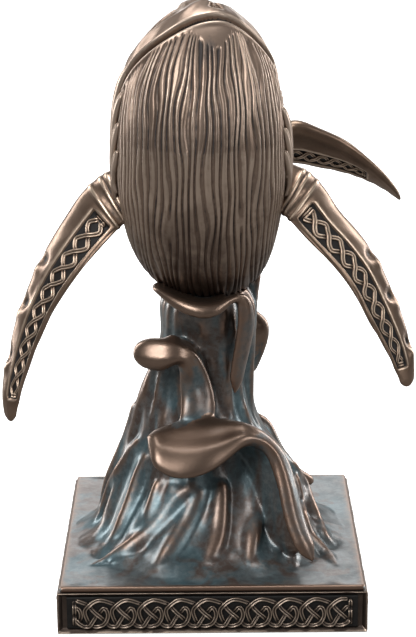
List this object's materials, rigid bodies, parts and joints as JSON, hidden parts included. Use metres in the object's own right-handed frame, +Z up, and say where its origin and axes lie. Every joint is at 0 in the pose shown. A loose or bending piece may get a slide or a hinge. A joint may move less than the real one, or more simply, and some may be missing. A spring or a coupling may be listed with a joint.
{
  "type": "whale figurine",
  "caption": "Leaping humpback whale figurine carried by a curling wave on a square plinth with knotwork friezes, cast in patinated resin bronze.",
  "frame": {"origin": "middle of the felt pad's underside, on the surface that the figurine stands on", "axes": "+X to the viewer's right, +Y away from the viewer, +Z up; the whale's throat faces -Y"},
  "size_m": [0.1251, 0.1234, 0.1781],
  "materials": {
    "felt": "dense black felt",
    "plinth": "near-black patinated cold-cast bronze, rubbed lighter on the edges",
    "frieze": "cold-cast bronze knotwork, bright on the ridges and dark in the ground",
    "water": "teal and umber patina over cold-cast bronze, satin gloss",
    "crest": "rubbed cold-cast bronze, satin gloss",
    "whale": "rubbed cold-cast bronze with near-black pleats, satin gloss",
    "fin": "rubbed cold-cast bronze with near-black knot panels, satin gloss",
    "steel": "plain steel rod"
  },
  "bodies": {
    "root": {"felt_pad": "felt", "plinth": "plinth", "frieze_front": "frieze", "frieze_right": "frieze", "frieze_back": "frieze", "frieze_left": "frieze", "sea_slab": "water", "wave_column": "water", "cradle_crest": "crest", "front_crest": "crest", "left_crest": "crest", "rear_crest": "crest", "right_swell": "water", "whale_body": "whale", "left_flipper": "fin", "right_flipper": "fin", "tail_fluke": "fin", "column_pin": "steel", "saddle_pin": "steel", "left_flipper_pin": "steel", "right_flipper_pin": "steel", "fluke_pin": "steel", "front_crest_pin": "steel", "left_crest_pin": "steel", "rear_crest_pin": "steel"}
  },
  "joints": []
}
